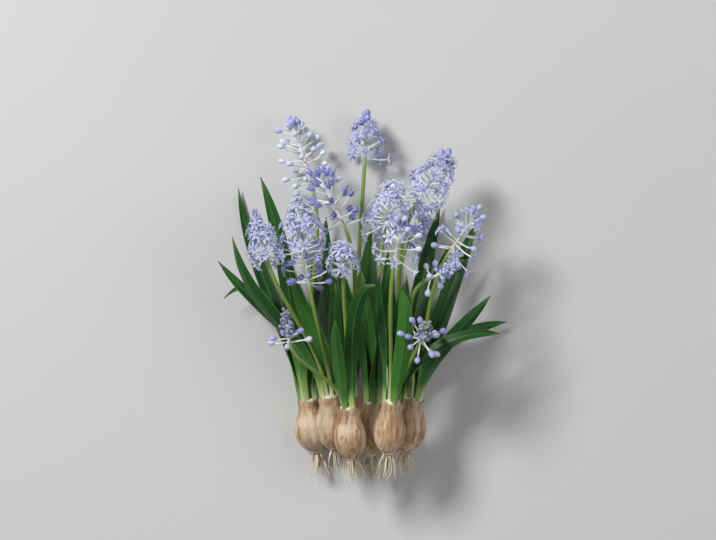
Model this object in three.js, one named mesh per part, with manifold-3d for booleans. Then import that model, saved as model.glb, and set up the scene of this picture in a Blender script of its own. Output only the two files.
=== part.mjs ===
// A flowering clump of meadow squill, lifted with its bulbs and roots and laid on its back.
// Millimetres. X runs to the right and Y along the plant, from the roots to the flowers.
// Z runs up from the surface that the clump lies on.

import * as THREE from "three";
import { mergeVertices } from "three/addons/utils/BufferGeometryUtils.js";
import Module from "manifold-3d";

const wasm = await Module();
wasm.setup();

// Clearance between neighbouring pieces.
const GAP = 0.3;

// How far a surface may shift when the small faces at a join are merged.
const JOIN_TOLERANCE = 0.1;

// Bulbs: lengths run along the bulb's own axis from its widest place.
const BULB_BELOW = 13;
const BULB_ABOVE = 15;
const BULB_BAND = 5;
const NECK_RADIUS = 6.4;
const PLATE_RADIUS = 4.5;
const BULB_SIDES = 10;
const SHOULDER_SHARE = 0.8;
const LOWER_SHOULDER = -8.6;
const UPPER_SHOULDER = 7.8;

// Roots.
const ROOT_LENGTH = 17;
const ROOT_RADIUS = 0.75;
const ROOTS_PER_BULB = 4;
const ROOT_PLATE_THICKNESS = 1.6;
const ROOT_PLATE_TOP_RADIUS = 4;
const ROOT_PLATE_BOTTOM_RADIUS = 2.7;
const ROOT_PLATE_SIDES = 6;

// How far a root stands from the bulb's axis at its start, its middle and its end, before its
// own splay of 0.1 to 0.8 is counted in.
const ROOT_STARTS_AT = 3;
const ROOT_BENDS_AT = 8;
const ROOT_ENDS_AT = 11;
const ROOT_SPLAY = 0.45;
const ROOT_SPLAY_PLAY = 0.35;
const ROOT_LENGTH_PLAY = 0.25;
const ROOT_END_PLAY = 3;

// Leaves.
const LEAF_THICKNESS = 0.8;
const LEAF_SEAT_RADIUS = 5.2;
const LEAF_BASE_SHARE = 0.52;
const LEAF_NARROWEST = 0.8;
const LEAF_WIDEST_AT = 0.5;
const LEAF_TURNED_AT = 0.6;
const LEAF_STEPS = 8;

// Flower stems.
const SCAPE_RADIUS = 1.2;
const SCAPE_SEAT_RADIUS = 2.1;
const SCAPE_SIDES = 5;
const SCAPE_STEPS = 7;
const RACHIS_RADIUS = 1.05;
const RACHIS_TOP_RADIUS = 0.6;
const RACHIS_LAP = 0.4;
const PEDICEL_RADIUS = 0.45;
const GOLDEN_ANGLE = 137.5;

// How far a pedicel strays from the even spiral, in degrees, and from its even length.
const TURN_PLAY = 14;
const TILT_PLAY = 7;
const REACH_PLAY = 0.1;

// Shares of a scape's or leaf's reach over which it still follows its bulb, and over which a
// scape already follows its raceme.
const RISE_SHARE = 0.35;
const STRAIGHT_SHARE = 0.28;

// What a pedicel carries: outline radii of the tips and notches, and how far it stands
// behind and before the outline.
const OPEN_FLOWER = { points: 12, tip: 5.2, notch: 2.3, behind: 1.1, before: 1.0, forward: 0.5 };
const HALF_OPEN_FLOWER = { points: 6, tip: 2.1, notch: 1.8, behind: 2.0, before: 3.6, forward: 0 };
const BUD = { points: 6, tip: 1.9, notch: 1.8, behind: 1.7, before: 2.2, forward: 0 };
const SMALL_BUD = { points: 6, tip: 1.55, notch: 1.4, behind: 1.3, before: 1.6, forward: 0 };
const KINDS = { o: OPEN_FLOWER, h: HALF_OPEN_FLOWER, b: BUD, s: SMALL_BUD };

// Colours.
const LEAF_GREEN = 0x2f6b34;
const STEM_GREEN = 0x7f9a4a;
const BULB_TAN = 0xb58f66;
const ROOT_CREAM = 0xd8cdb2;

const radians = THREE.MathUtils.degToRad;
const lerp = THREE.MathUtils.lerp;
const point = (values) => new THREE.Vector3(...values);
const standard = (color, roughness) => new THREE.MeshStandardMaterial({ color, roughness, metalness: 0 });

// Bulbs: radius, where it nestles, how far it fans out in plan and how far it lifts, in degrees,
// how far it stands along the clump, and how much the flat sides let it settle between two others.
const bulbs = [
  { radius: 11.6, at: [-27, 0], fan: 9, lift: 0, along: -1 },
  { radius: 11.6, beside: 0, fan: 1, lift: 0, along: 1.5 },
  { radius: 11.8, beside: 1, fan: -8, lift: 0, along: -2 },
  { radius: 10.7, on: [0, 1], fan: 6, lift: 4, along: 2, settle: 0.8 },
  { radius: 11.2, on: [1, 2], fan: -2, lift: 6, along: -1.5, settle: 0.8 },
  { radius: 10.6, on: [4, 2], fan: -9, lift: 5, along: 1, settle: 0 },
  { radius: 10.2, on: [3, 4], fan: 4, lift: 10, along: -3, settle: 0.8 },
  { radius: 10.0, on: [4, 5], fan: -5, lift: 10, along: 0.5, settle: 0.5 },
];

// A tier of a raceme: how many pedicels stand from one point of the rachis to another, their
// lengths and their angles to the rachis at both ends, and the order of what they carry.
const tier = (from, to, count, reach, spread, carries) => (
  { from: point(from), to: point(to), count, reach, spread, carries }
);

// Flower stems: the bulb each rises from, the place round its neck in degrees, and its tiers.
const stems = [
  {
    bulb: 0, seat: 90, tiers: [
      tier([-27, 141, 17], [-36, 172, 17], 18, [17, 11], [98, 55], "b"),
      tier([-36, 172, 17], [-38, 178, 17], 7, [8, 5], [50, 12], "b"),
    ],
  },
  {
    bulb: 1, seat: 0, tiers: [
      tier([4, 158, 15], [5, 176, 15], 14, [13, 7], [88, 42], "o"),
      tier([5, 176, 15], [5, 184.5, 15], 6, [5, 2], [60, 12], "b"),
    ],
  },
  {
    bulb: 2, seat: 120, tiers: [
      tier([35, 133, 38], [47, 152, 38], 20, [14, 10], [122, 30], "o"),
      tier([47, 152, 38], [50, 157, 38], 4, [9, 6], [40, 8], "b"),
    ],
  },
  {
    bulb: 1, seat: 180, tiers: [
      tier([-8, 118, 38], [-21, 145, 36], 18, [17, 9], [95, 20], "h"),
    ],
  },
  {
    bulb: 3, seat: 20, tiers: [
      tier([-28, 84, 62], [-31, 102, 62], 7, [13, 11], [95, 75], "bh"),
      tier([-31, 102, 62], [-33, 124, 62], 21, [15, 10.5], [92, 8], "o"),
    ],
  },
  {
    bulb: 3, seat: 120, tiers: [
      tier([-52, 99, 68], [-56, 114, 68], 10, [9, 7], [105, 50], "o"),
      tier([-56, 114, 68], [-59, 125, 68], 9, [5.4, 3], [75, 20], "s"),
    ],
  },
  {
    bulb: 4, seat: 90, tiers: [
      tier([16, 118, 48], [19, 133.5, 62], 21, [14, 11], [128, 5], "oooooob"),
    ],
  },
  {
    bulb: 6, seat: 0, tiers: [
      tier([-8.5, 94, 74], [-8.5, 101, 79], 15, [9.5, 7.5], [98, 8], "ooooooob"),
    ],
  },
  {
    bulb: 7, seat: 140, tiers: [
      tier([21, 99, 82], [24, 113, 84], 13, [15, 11], [125, 25], "ooooobbobbbbb"),
    ],
  },
  {
    bulb: 5, seat: 40, tiers: [
      tier([53, 103, 50], [66, 122, 52], 16, [16, 9], [115, 20], "ob"),
    ],
  },
  {
    bulb: 5, seat: 130, tiers: [
      tier([41, 88, 74], [46, 90, 75], 5, [10, 7], [120, 80], "b"),
      tier([46, 90, 75], [56, 95, 77], 11, [4.6, 3.2], [88, 25], "s"),
    ],
  },
  {
    bulb: 6, seat: 180, tiers: [
      tier([-39, 51, 72], [-40, 55, 73], 6, [13, 9], [100, 70], "b"),
      tier([-40, 55, 73], [-41, 68, 75], 13, [4.6, 3.4], [88, 24], "s"),
    ],
  },
  {
    bulb: 7, seat: 340, tiers: [
      tier([35.5, 51.5, 71], [37, 55.5, 77], 10, [13.5, 11], [110, 60], "b"),
      tier([37, 55.5, 77], [39, 61, 84], 13, [5.2, 3.6], [88, 25], "s"),
    ],
  },
  {
    bulb: 2, seat: 0, tiers: [
      tier([30, 110, 15], [38, 126, 15], 9, [9, 6], [100, 20], "o"),
    ],
  },
];

// Leaves: the bulb, the place round its neck, the point that bends the blade and its tip, the
// greatest width, the angle of its fold, and the way its upper face turns, in degrees.
const leaves = [
  { bulb: 0, seat: 238, bend: [-64, 92, -2], tip: [-71, 141, 3], width: 9, fold: 18, face: 90 },
  { bulb: 0, seat: 112, bend: [-40, 100, 32], tip: [-57, 147, 32], width: 11, fold: 16, face: 280 },
  { bulb: 0, seat: 308, bend: [-34, 70, 1], tip: [-50, 114, 5], width: 9, fold: 16, face: 100 },
  { bulb: 0, seat: 175, bend: [-54, 104, 17], tip: [-79, 76, 16], width: 6, fold: 18, face: 60 },
  { bulb: 1, seat: 215, bend: [-20, 80, 4], tip: [-19, 124, 8], width: 10, fold: 14, face: 80 },
  { bulb: 1, seat: 290, bend: [2, 80, 2], tip: [8, 118, 4], width: 9, fold: 14, face: 90 },
  { bulb: 2, seat: 22, bend: [58, 58, 14], tip: [88, 62, 6], width: 9, fold: 18, face: 110 },
  { bulb: 2, seat: 306, bend: [36, 80, 1.0], tip: [49, 131, 3], width: 11, fold: 16, face: 100 },
  { bulb: 2, seat: 235, bend: [15, 80, 9], tip: [18, 104, 12], width: 9, fold: 14, face: 80 },
  { bulb: 3, seat: 159, bend: [-66, 66, 52], tip: [-73, 112, 46], width: 11, fold: 22, face: 310 },
  { bulb: 3, seat: 236, bend: [-60, 68, 32], tip: [-82, 98, 28], width: 9, fold: 18, face: 60 },
  { bulb: 3, seat: 314, bend: [-30, 60, 32], tip: [-40, 92, 36], width: 10, fold: 14, face: 90 },
  { bulb: 4, seat: 160, bend: [-8, 74, 48], tip: [-14, 106, 50], width: 10, fold: 14, face: 310 },
  { bulb: 4, seat: 20, bend: [18, 70, 40], tip: [20, 100, 38], width: 9, fold: 14, face: 250 },
  { bulb: 4, seat: 270, bend: [6, 70, 27], tip: [9, 106, 26], width: 10, fold: 14, face: 90 },
  { bulb: 5, seat: 338, bend: [52, 78, 36], tip: [70, 122, 32], width: 12, fold: 20, face: 100 },
  { bulb: 5, seat: 257, bend: [38, 70, 24], tip: [54, 108, 20], width: 9, fold: 16, face: 90 },
  { bulb: 5, seat: 186, bend: [27, 60, 40], tip: [28, 90, 46], width: 9, fold: 14, face: 320 },
  { bulb: 5, seat: 58, bend: [58, 56, 54], tip: [76, 78, 62], width: 9, fold: 18, face: 260 },
  { bulb: 6, seat: 50, bend: [-6, 84, 80], tip: [10, 84, 84], width: 9, fold: 16, face: 270 },
  { bulb: 6, seat: 228, bend: [-15, 60, 59], tip: [-13, 85, 61], width: 9, fold: 14, face: 80 },
  { bulb: 6, seat: 120, bend: [-14, 50, 76], tip: [-13, 64, 80], width: 8, fold: 16, face: 290 },
  { bulb: 7, seat: 72, bend: [31, 65, 74], tip: [24, 83, 74], width: 10, fold: 16, face: 270 },
  { bulb: 7, seat: 190, bend: [8, 66, 62], tip: [12, 90, 64], width: 9, fold: 14, face: 310 },
  { bulb: 7, seat: 320, bend: [56, 60, 64], tip: [82, 56, 56], width: 8, fold: 18, face: 150 },
  { bulb: 7, seat: 265, bend: [22, 64, 55], tip: [27, 86, 58], width: 8, fold: 14, face: 90 },
  { bulb: 2, seat: 165, bend: [13, 68, 16], tip: [16, 92, 20], width: 8, fold: 14, face: 80 },
  { bulb: 2, seat: 80, bend: [50, 66, 13], tip: [66, 104, 18], width: 8, fold: 14, face: 85 },
  { bulb: 4, seat: 80, bend: [5, 66, 46], tip: [2, 92, 43], width: 8, fold: 14, face: 90 },
  { bulb: 0, seat: 20, bend: [-20, 70, 13], tip: [-28, 96, 8], width: 8, fold: 14, face: 90 },
];

// An even number between -1 and 1 that is the same for the same pair of keys.
function wander(first, second) {
  const wave = Math.sin(first * 12.9898 + second * 78.233) * 43758.5453;
  return 2 * (wave - Math.floor(wave)) - 1;
}

function toSolid(geometry) {
  geometry.deleteAttribute("normal");
  geometry.deleteAttribute("uv");
  const merged = mergeVertices(geometry, 1e-4);
  return new wasm.Manifold(new wasm.Mesh({
    numProp: 3,
    vertProperties: new Float32Array(merged.attributes.position.array),
    triVerts: new Uint32Array(merged.index.array),
  }));
}

// One solid of several, with the faces that lie in one plane joined again.
function joined(solids) {
  return wasm.Manifold.union(solids).asOriginal().simplify(JOIN_TOLERANCE);
}

function toGeometry(solid) {
  const mesh = solid.getMesh();
  const geometry = new THREE.BufferGeometry();
  geometry.setAttribute("position", new THREE.BufferAttribute(mesh.vertProperties, 3));
  geometry.setIndex(new THREE.BufferAttribute(mesh.triVerts, 1));
  geometry.computeVertexNormals();
  return geometry;
}

function closedGeometry(vertices, faces) {
  const geometry = new THREE.BufferGeometry();
  const numbers = vertices.flatMap((v) => v.toArray());
  geometry.setAttribute("position", new THREE.Float32BufferAttribute(numbers, 3));
  geometry.setIndex(faces.flat());
  geometry.computeVertexNormals();
  return geometry;
}

// The corners of an even-sided outline round the origin.
function regularCorners(sides, radius) {
  const angles = Array.from({ length: sides }, (_, k) => k * 2 * Math.PI / sides);
  return angles.map((angle) => new THREE.Vector2(radius * Math.cos(angle), radius * Math.sin(angle)));
}

// Two directions square to an axis.
function sideways(axis) {
  const helper = Math.abs(axis.z) < 0.9 ? new THREE.Vector3(0, 0, 1) : new THREE.Vector3(1, 0, 0);
  const first = new THREE.Vector3().crossVectors(axis, helper).normalize();
  const second = new THREE.Vector3().crossVectors(axis, first).normalize();
  return [first, second];
}

// The bulb that rests on two others, as three round things nestle.
function nestle(bulb, left, right) {
  const toLeft = left.radius + bulb.radius + GAP - bulb.settle;
  const toRight = right.radius + bulb.radius + GAP - bulb.settle;
  const span = Math.hypot(right.x - left.x, right.z - left.z);
  const along = (toLeft ** 2 - toRight ** 2 + span ** 2) / (2 * span);
  const above = Math.sqrt(toLeft ** 2 - along ** 2);
  const ux = (right.x - left.x) / span;
  const uz = (right.z - left.z) / span;
  const upward = ux >= 0 ? 1 : -1;
  return {
    x: left.x + ux * along - uz * above * upward,
    z: left.z + uz * along + ux * above * upward,
  };
}

function placeBulbs() {
  const flat = Math.cos(Math.PI / BULB_SIDES);
  bulbs.forEach((bulb) => {
    if (bulb.at) {
      bulb.x = bulb.at[0];
      bulb.z = bulb.radius * flat;
    } else if (bulb.beside !== undefined) {
      const beside = bulbs[bulb.beside];
      bulb.x = beside.x + beside.radius + bulb.radius + GAP;
      bulb.z = bulb.radius * flat;
    } else {
      Object.assign(bulb, nestle(bulb, bulbs[bulb.on[0]], bulbs[bulb.on[1]]));
    }
    bulb.turn = new THREE.Euler(radians(bulb.lift), 0, radians(bulb.fan));
    bulb.centre = new THREE.Vector3(bulb.x, bulb.along, bulb.z);
    bulb.axis = new THREE.Vector3(0, 1, 0).applyEuler(bulb.turn);
  });
}

// A point round the neck of a bulb, just clear of its top.
function neckPoint(bulb, seat, radius) {
  const angle = radians(seat);
  const local = new THREE.Vector3(radius * Math.cos(angle), BULB_ABOVE + GAP, radius * Math.sin(angle));
  return local.applyEuler(bulb.turn).add(bulb.centre);
}

function bulbGeometry(bulb) {
  const profile = [
    [0, -BULB_BELOW],
    [PLATE_RADIUS, -BULB_BELOW],
    [bulb.radius * SHOULDER_SHARE, LOWER_SHOULDER],
    [bulb.radius, -BULB_BAND / 2],
    [bulb.radius, BULB_BAND / 2],
    [bulb.radius * SHOULDER_SHARE, UPPER_SHOULDER],
    [NECK_RADIUS, BULB_ABOVE],
    [0, BULB_ABOVE],
  ];
  const shape = profile.map(([r, y]) => new THREE.Vector2(r, y));
  return new THREE.LatheGeometry(shape, BULB_SIDES, Math.PI / BULB_SIDES);
}

// One root: a three-sided spike that bends away from the bulb.
function rootSolid(number, order) {
  const angle = order * radians(GOLDEN_ANGLE) + number;
  const out = ROOT_SPLAY + ROOT_SPLAY_PLAY * wander(number, order);
  const side = new THREE.Vector3(Math.cos(angle) * out, 0, Math.sin(angle) * out);
  const length = ROOT_LENGTH * (1 + ROOT_LENGTH_PLAY * wander(order, number));
  const sway = ROOT_END_PLAY * wander(order, 5);
  const curve = new THREE.QuadraticBezierCurve3(
    side.clone().multiplyScalar(ROOT_STARTS_AT),
    side.clone().multiplyScalar(ROOT_BENDS_AT).setY(-length / 2),
    new THREE.Vector3(side.x * ROOT_ENDS_AT + sway, -length, side.z * ROOT_BENDS_AT),
  );
  const corners = regularCorners(3, ROOT_RADIUS);
  return toSolid(new THREE.ExtrudeGeometry(new THREE.Shape(corners), { steps: 2, extrudePath: curve }));
}

function rootsGeometry(number) {
  const plate = new THREE.CylinderGeometry(
    ROOT_PLATE_TOP_RADIUS, ROOT_PLATE_BOTTOM_RADIUS, ROOT_PLATE_THICKNESS, ROOT_PLATE_SIDES,
  );
  const pieces = [toSolid(plate)];
  for (let order = 0; order < ROOTS_PER_BULB; order += 1) {
    pieces.push(rootSolid(number, order));
  }
  return toGeometry(joined(pieces)).translate(0, -BULB_BELOW - GAP - ROOT_PLATE_THICKNESS / 2, 0);
}

// A pedicel with its flower or bud, as one closed star or spindle on a three-sided stalk.
function stalked(from, to, form) {
  const axis = to.clone().sub(from).normalize();
  const [first, second] = sideways(axis);
  const onRing = (centre, radius, angle) => centre.clone()
    .addScaledVector(first, radius * Math.cos(angle))
    .addScaledVector(second, radius * Math.sin(angle));
  const along = (distance) => to.clone().addScaledVector(axis, distance);
  const thirds = [1, 3, 5].map((k) => k * Math.PI / 3);
  const vertices = thirds.map((angle) => onRing(from, PEDICEL_RADIUS, angle));
  thirds.forEach((angle) => vertices.push(onRing(along(-form.behind), PEDICEL_RADIUS, angle)));
  for (let k = 0; k < form.points; k += 1) {
    const isTip = k % 2 === 0;
    const radius = isTip ? form.tip : form.notch;
    vertices.push(onRing(along(isTip ? form.forward : 0), radius, k * 2 * Math.PI / form.points));
  }
  vertices.push(along(form.before));
  const apex = vertices.length - 1;
  const share = form.points / 3;
  const outline = (k) => 6 + (k % form.points);
  const faces = [[0, 2, 1]];
  for (let k = 0; k < 3; k += 1) {
    const next = (k + 1) % 3;
    faces.push([k, next, 3 + k], [next, 3 + next, 3 + k]);
    faces.push([3 + k, 3 + next, outline((k + 1) * share)]);
    for (let j = 0; j < share; j += 1) {
      faces.push([3 + k, outline(k * share + j + 1), outline(k * share + j)]);
    }
  }
  for (let k = 0; k < form.points; k += 1) {
    faces.push([outline(k), outline(k + 1), apex]);
  }
  return toSolid(closedGeometry(vertices, faces));
}

// The pedicels of one tier, in the order that they grow up the rachis.
function tierSolids({ from, to, count, reach, spread, carries }, key) {
  const axis = to.clone().sub(from).normalize();
  const [first, second] = sideways(axis);
  const solids = [];
  for (let order = 0; order < count; order += 1) {
    const share = (order + 0.5) / count;
    const turn = radians(order * GOLDEN_ANGLE + TURN_PLAY * wander(key, order));
    const tilt = radians(lerp(...spread, share) + TILT_PLAY * wander(order, key));
    const length = lerp(...reach, share) * (1 + REACH_PLAY * wander(key + 3, order));
    const foot = from.clone().lerp(to, share);
    const out = axis.clone().multiplyScalar(Math.cos(tilt))
      .addScaledVector(first, Math.sin(tilt) * Math.cos(turn))
      .addScaledVector(second, Math.sin(tilt) * Math.sin(turn));
    const kind = KINDS[carries[order % carries.length]];
    solids.push(stalked(foot, foot.clone().addScaledVector(out, length), kind));
  }
  return solids;
}

function scapeSolid(stem) {
  const bulb = bulbs[stem.bulb];
  const { from: top, to } = stem.tiers[0];
  const base = neckPoint(bulb, stem.seat, SCAPE_SEAT_RADIUS);
  const axis = to.clone().sub(top).normalize();
  const length = top.distanceTo(base);
  const curve = new THREE.CubicBezierCurve3(
    base,
    base.clone().addScaledVector(bulb.axis, length * RISE_SHARE),
    top.clone().addScaledVector(axis, -length * STRAIGHT_SHARE),
    top.clone().addScaledVector(axis, RACHIS_LAP),
  );
  const section = new THREE.Shape(regularCorners(SCAPE_SIDES, SCAPE_RADIUS));
  return toSolid(new THREE.ExtrudeGeometry(section, { steps: SCAPE_STEPS, extrudePath: curve }));
}

// The rachis, thinning from the scape to the tip of the raceme, one stretch for each tier.
function rachisSolids(tiers) {
  return tiers.map(({ from, to }, order) => {
    const axis = to.clone().sub(from).normalize();
    const thick = lerp(RACHIS_RADIUS, RACHIS_TOP_RADIUS, order / tiers.length);
    const thin = lerp(RACHIS_RADIUS, RACHIS_TOP_RADIUS, (order + 1) / tiers.length);
    const length = from.distanceTo(to) + 2 * RACHIS_LAP;
    const stretch = new THREE.CylinderGeometry(thin, thick, length, SCAPE_SIDES);
    stretch.applyQuaternion(new THREE.Quaternion().setFromUnitVectors(new THREE.Vector3(0, 1, 0), axis));
    const middle = from.clone().lerp(to, 0.5);
    return toSolid(stretch.translate(middle.x, middle.y, middle.z));
  });
}

function stemGeometry(stem, number) {
  const pieces = [scapeSolid(stem), ...rachisSolids(stem.tiers)];
  stem.tiers.forEach((stretch, order) => pieces.push(...tierSolids(stretch, number * 10 + order)));
  return toGeometry(joined(pieces));
}

// How much of its full width a blade has along its length: narrow at the neck, widest at the
// middle, then drawn in to a point.
function widthShare(share) {
  const swell = lerp(LEAF_BASE_SHARE, 1, Math.sin(Math.min(share / LEAF_WIDEST_AT, 1) * Math.PI / 2));
  return swell * (1 - share ** 5) ** 0.8;
}

// The shorter way round from one angle to another, in degrees.
function shorterTurn(from, to) {
  const turn = (((to - from) % 360) + 360) % 360;
  return turn > 180 ? turn - 360 : turn;
}

// A strap blade folded along its midrib, with both faces split alike. Its upper face leaves the
// neck looking inwards and has turned to its own side by the middle of the blade.
function leafGeometry(leaf) {
  const bulb = bulbs[leaf.bulb];
  const base = neckPoint(bulb, leaf.seat, LEAF_SEAT_RADIUS);
  const tip = point(leaf.tip);
  const rise = base.clone().addScaledVector(bulb.axis, tip.distanceTo(base) * RISE_SHARE);
  const curve = new THREE.CubicBezierCurve3(base, rise, point(leaf.bend), tip);
  const inward = leaf.seat + 180;
  const fold = radians(leaf.fold);
  const front = [];
  const back = [];
  for (let step = 0; step <= LEAF_STEPS; step += 1) {
    const share = 1 - (1 - step / LEAF_STEPS) ** 1.25;
    const centre = curve.getPoint(share);
    const tangent = curve.getTangent(share);
    const turned = THREE.MathUtils.smoothstep(share, 0, LEAF_TURNED_AT);
    const angle = radians(inward + shorterTurn(inward, leaf.face) * turned);
    const up = new THREE.Vector3(Math.cos(angle), 0, Math.sin(angle));
    const side = new THREE.Vector3().crossVectors(tangent, up).normalize();
    const normal = new THREE.Vector3().crossVectors(side, tangent);
    const half = Math.max(LEAF_NARROWEST, leaf.width * widthShare(share)) / 2;
    [-1, 0, 1].forEach((column) => {
      const middle = centre.clone()
        .addScaledVector(side, column * half * Math.cos(fold))
        .addScaledVector(normal, Math.abs(column) * half * Math.sin(fold));
      front.push(middle.clone().addScaledVector(normal, LEAF_THICKNESS / 2));
      back.push(middle.clone().addScaledVector(normal, -LEAF_THICKNESS / 2));
    });
  }
  return bladeBetween(front, back, 3);
}

// A closed blade between two grids of points with the same rows.
function bladeBetween(front, back, columns) {
  const count = front.length;
  const rows = count / columns;
  const faces = [];
  const quad = (a, b, c, d) => faces.push([a, b, c], [a, c, d]);
  for (let row = 0; row + 1 < rows; row += 1) {
    for (let column = 0; column + 1 < columns; column += 1) {
      const a = row * columns + column;
      const b = a + columns;
      quad(a, a + 1, b + 1, b);
      faces.push([count + a, count + b + 1, count + a + 1], [count + a, count + b, count + b + 1]);
    }
    const left = row * columns;
    const right = left + columns - 1;
    quad(left, left + columns, count + left + columns, count + left);
    quad(right, count + right, count + right + columns, right + columns);
  }
  for (let column = 0; column + 1 < columns; column += 1) {
    const last = (rows - 1) * columns + column;
    quad(column, count + column, count + column + 1, column + 1);
    quad(last, last + 1, count + last + 1, count + last);
  }
  return closedGeometry([...front, ...back], faces);
}

placeBulbs();

const plant = new THREE.Group();

function addPiece(name, geometry, material) {
  const mesh = new THREE.Mesh(geometry, material);
  mesh.name = name;
  plant.add(mesh);
  return mesh;
}

bulbs.forEach((bulb, number) => {
  const pair = [
    addPiece(`bulb_${number + 1}`, bulbGeometry(bulb), standard(BULB_TAN, 0.6)),
    addPiece(`roots_${number + 1}`, rootsGeometry(number), standard(ROOT_CREAM, 0.7)),
  ];
  pair.forEach((mesh) => {
    mesh.rotation.copy(bulb.turn);
    mesh.position.copy(bulb.centre);
  });
});
stems.forEach((stem, number) => {
  addPiece(`flower_stem_${number + 1}`, stemGeometry(stem, number), standard(STEM_GREEN, 0.55));
});
leaves.forEach((leaf, number) => {
  addPiece(`leaf_${number + 1}`, leafGeometry(leaf), standard(LEAF_GREEN, 0.5));
});

// The origin goes to the middle of the clump's footprint, on the surface that it lies on.
plant.updateMatrixWorld(true);
const box = new THREE.Box3().setFromObject(plant, true);
plant.position.set(-(box.min.x + box.max.x) / 2, -(box.min.y + box.max.y) / 2, -box.min.z);

export default plant;
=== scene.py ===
# A flowering clump of meadow squill, lifted with its bulbs and roots and laid on its back.
# X runs to the right, Y along the plants from the roots to the flowers, Z up from the floor.
import math
import random

import bmesh
import bpy
from mathutils import Matrix, Vector, noise


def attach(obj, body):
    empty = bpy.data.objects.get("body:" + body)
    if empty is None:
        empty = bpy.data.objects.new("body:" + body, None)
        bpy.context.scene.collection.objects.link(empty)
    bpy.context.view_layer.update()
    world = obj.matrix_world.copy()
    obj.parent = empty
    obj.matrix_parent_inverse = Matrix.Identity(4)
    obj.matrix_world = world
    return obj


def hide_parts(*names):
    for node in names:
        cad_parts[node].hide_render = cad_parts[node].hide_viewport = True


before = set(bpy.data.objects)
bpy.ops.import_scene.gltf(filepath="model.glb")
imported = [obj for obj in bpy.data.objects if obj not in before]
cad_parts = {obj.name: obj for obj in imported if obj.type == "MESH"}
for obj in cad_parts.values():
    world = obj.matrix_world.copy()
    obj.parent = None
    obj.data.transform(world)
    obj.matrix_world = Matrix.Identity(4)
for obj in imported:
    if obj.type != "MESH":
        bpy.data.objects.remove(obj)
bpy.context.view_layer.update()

# The tables below are in millimetres, measured before the origin went to the middle of the
# clump's footprint. MM and at() bring them to metres in the clump's own frame.
MM = 0.001
TO_MIDDLE = Vector((-2.908, -75.152, 0.0))
UP_THE_PLANT = Vector((0, 1, 0))
SHARP_ANGLE = 50

# Bulbs: lengths run along the bulb's own axis from its widest place.
GAP = 0.3
BULB_BELOW = 13
BULB_ABOVE = 15
BULB_SIDES = 10
FLAT_SHARE = math.cos(math.pi / BULB_SIDES)
PLATE_RADIUS = 4.5
NECK_RADIUS = 6.4

# Bulb skins: how deep they lie and are worn, their furrows, fibres and torn collars, and the
# heart of scales within, which has the bulb's second finish.
PALE_SCALE = 1
TUNIC_SEED = 100
SKIN_DEPTH = 0.22
WORN_DEPTH = 0.22
WEAR_FROM = 0.22
WEAR_STEP = 0.08
WEAR_ENDS = 8
DENT_SHARE = 0.03
RIB_SHARE = 0.012
FIBRE_HEIGHT = 0.2
PAPER_THICKNESS = 0.12
COLLAR_SHARE = 0.985
COLLAR_START = 6
COLLAR_HEIGHT = 5.6
COLLAR_TEAR = 4
HEART_RADIUS = NECK_RADIUS - 1.4
HEART_LENGTH = 5.0
HEART_SUNK = 1.5

# Roots, and the plate they grow from: how far below the bulb's end, and its radius there.
ROOT_SEED = 200
ROOTS_EACH = 15
ROOT_LENGTH = 17
ROOT_SHORTEST = 0.62
ROOT_SPLAY = 0.45
ROOT_SPLAY_PLAY = 0.35
ROOT_SWAY = 2.2
ROOT_RADII = (0.38, 0.6)
ROOT_TAPER = 0.75
ROOT_STEPS = 9
PLATE_OUTLINE = ((-0.9, 3.4), (0, 3.9), (0.9, 3.5), (1.7, 2.4), (1.9, 1.2))

# Leaves.
LEAF_SEAT_RADIUS = 5.2
LEAF_BASE_SHARE = 0.52
LEAF_WIDEST_AT = 0.5
LEAF_TURNED_AT = 0.6
LEAF_THICKNESS = 0.7
LEAF_TIP_HALF = 0.4
LEAF_ROWS = 44
LEAF_COLUMNS = 10
FOOT_FOLD = 40
FOLD_SET_AT = 0.25
HOOD_FOLD = 14
HOOD_FROM = 0.85
KEEL_SOFTNESS = 0.22
KEEL_HEIGHT = 0.25
KEEL_WIDTH = 0.12
MARGIN_WAVE = 0.035
MARGIN_WAVE_RATE = 23
EDGE_THINNING = 0.6
TIP_THINNING = 0.5

# Flower stems.
SCAPE_RADIUS = 1.2
SCAPE_FOOT_SHARE = 1.02
SCAPE_TOP_SHARE = 0.92
SCAPE_SEAT_RADIUS = 2.1
SCAPE_STEPS = 26
RACHIS_FROM = 0.7
RACHIS_RADIUS = 1.05
RACHIS_TOP_RADIUS = 0.6
RACHIS_TIP_SHARE = 0.7
RACHIS_STEPS = 4
GOLDEN_ANGLE = 137.5
TURN_PLAY = 14
TILT_PLAY = 7
REACH_PLAY = 0.1
BLOOM_SEAT = 0.4
RISE_SHARE = 0.35
STRAIGHT_SHARE = 0.28
PEDICEL_RADII = ((0.0, 0.6), (0.12, 0.47), (0.6, 0.43), (0.93, 0.5))
PEDICEL_BOW = -0.05
PEDICEL_BOW_PLAY = 0.06

# The flowers and buds that only this script has, in a second spiral with the same step.
EXTRA_KEY = 400
EXTRA_TURN = 67
EXTRA_TILT_PLAY = 18
EXTRA_REACH = 0.86
EXTRA_SMALL_REACH = 0.76
EXTRA_REACH_PLAY = 0.14

# How flowers and buds differ from one another.
FLOWER_SHAPES = 3
BLOOM_SIZES = (0.9, 1.0)
SMALL_BUD_SIZE = 1.1
SMALL_BUD_SHRINK = 0.35
NOD_PLAY = 0.12
VIOLET_PLAY = 0.12

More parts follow.
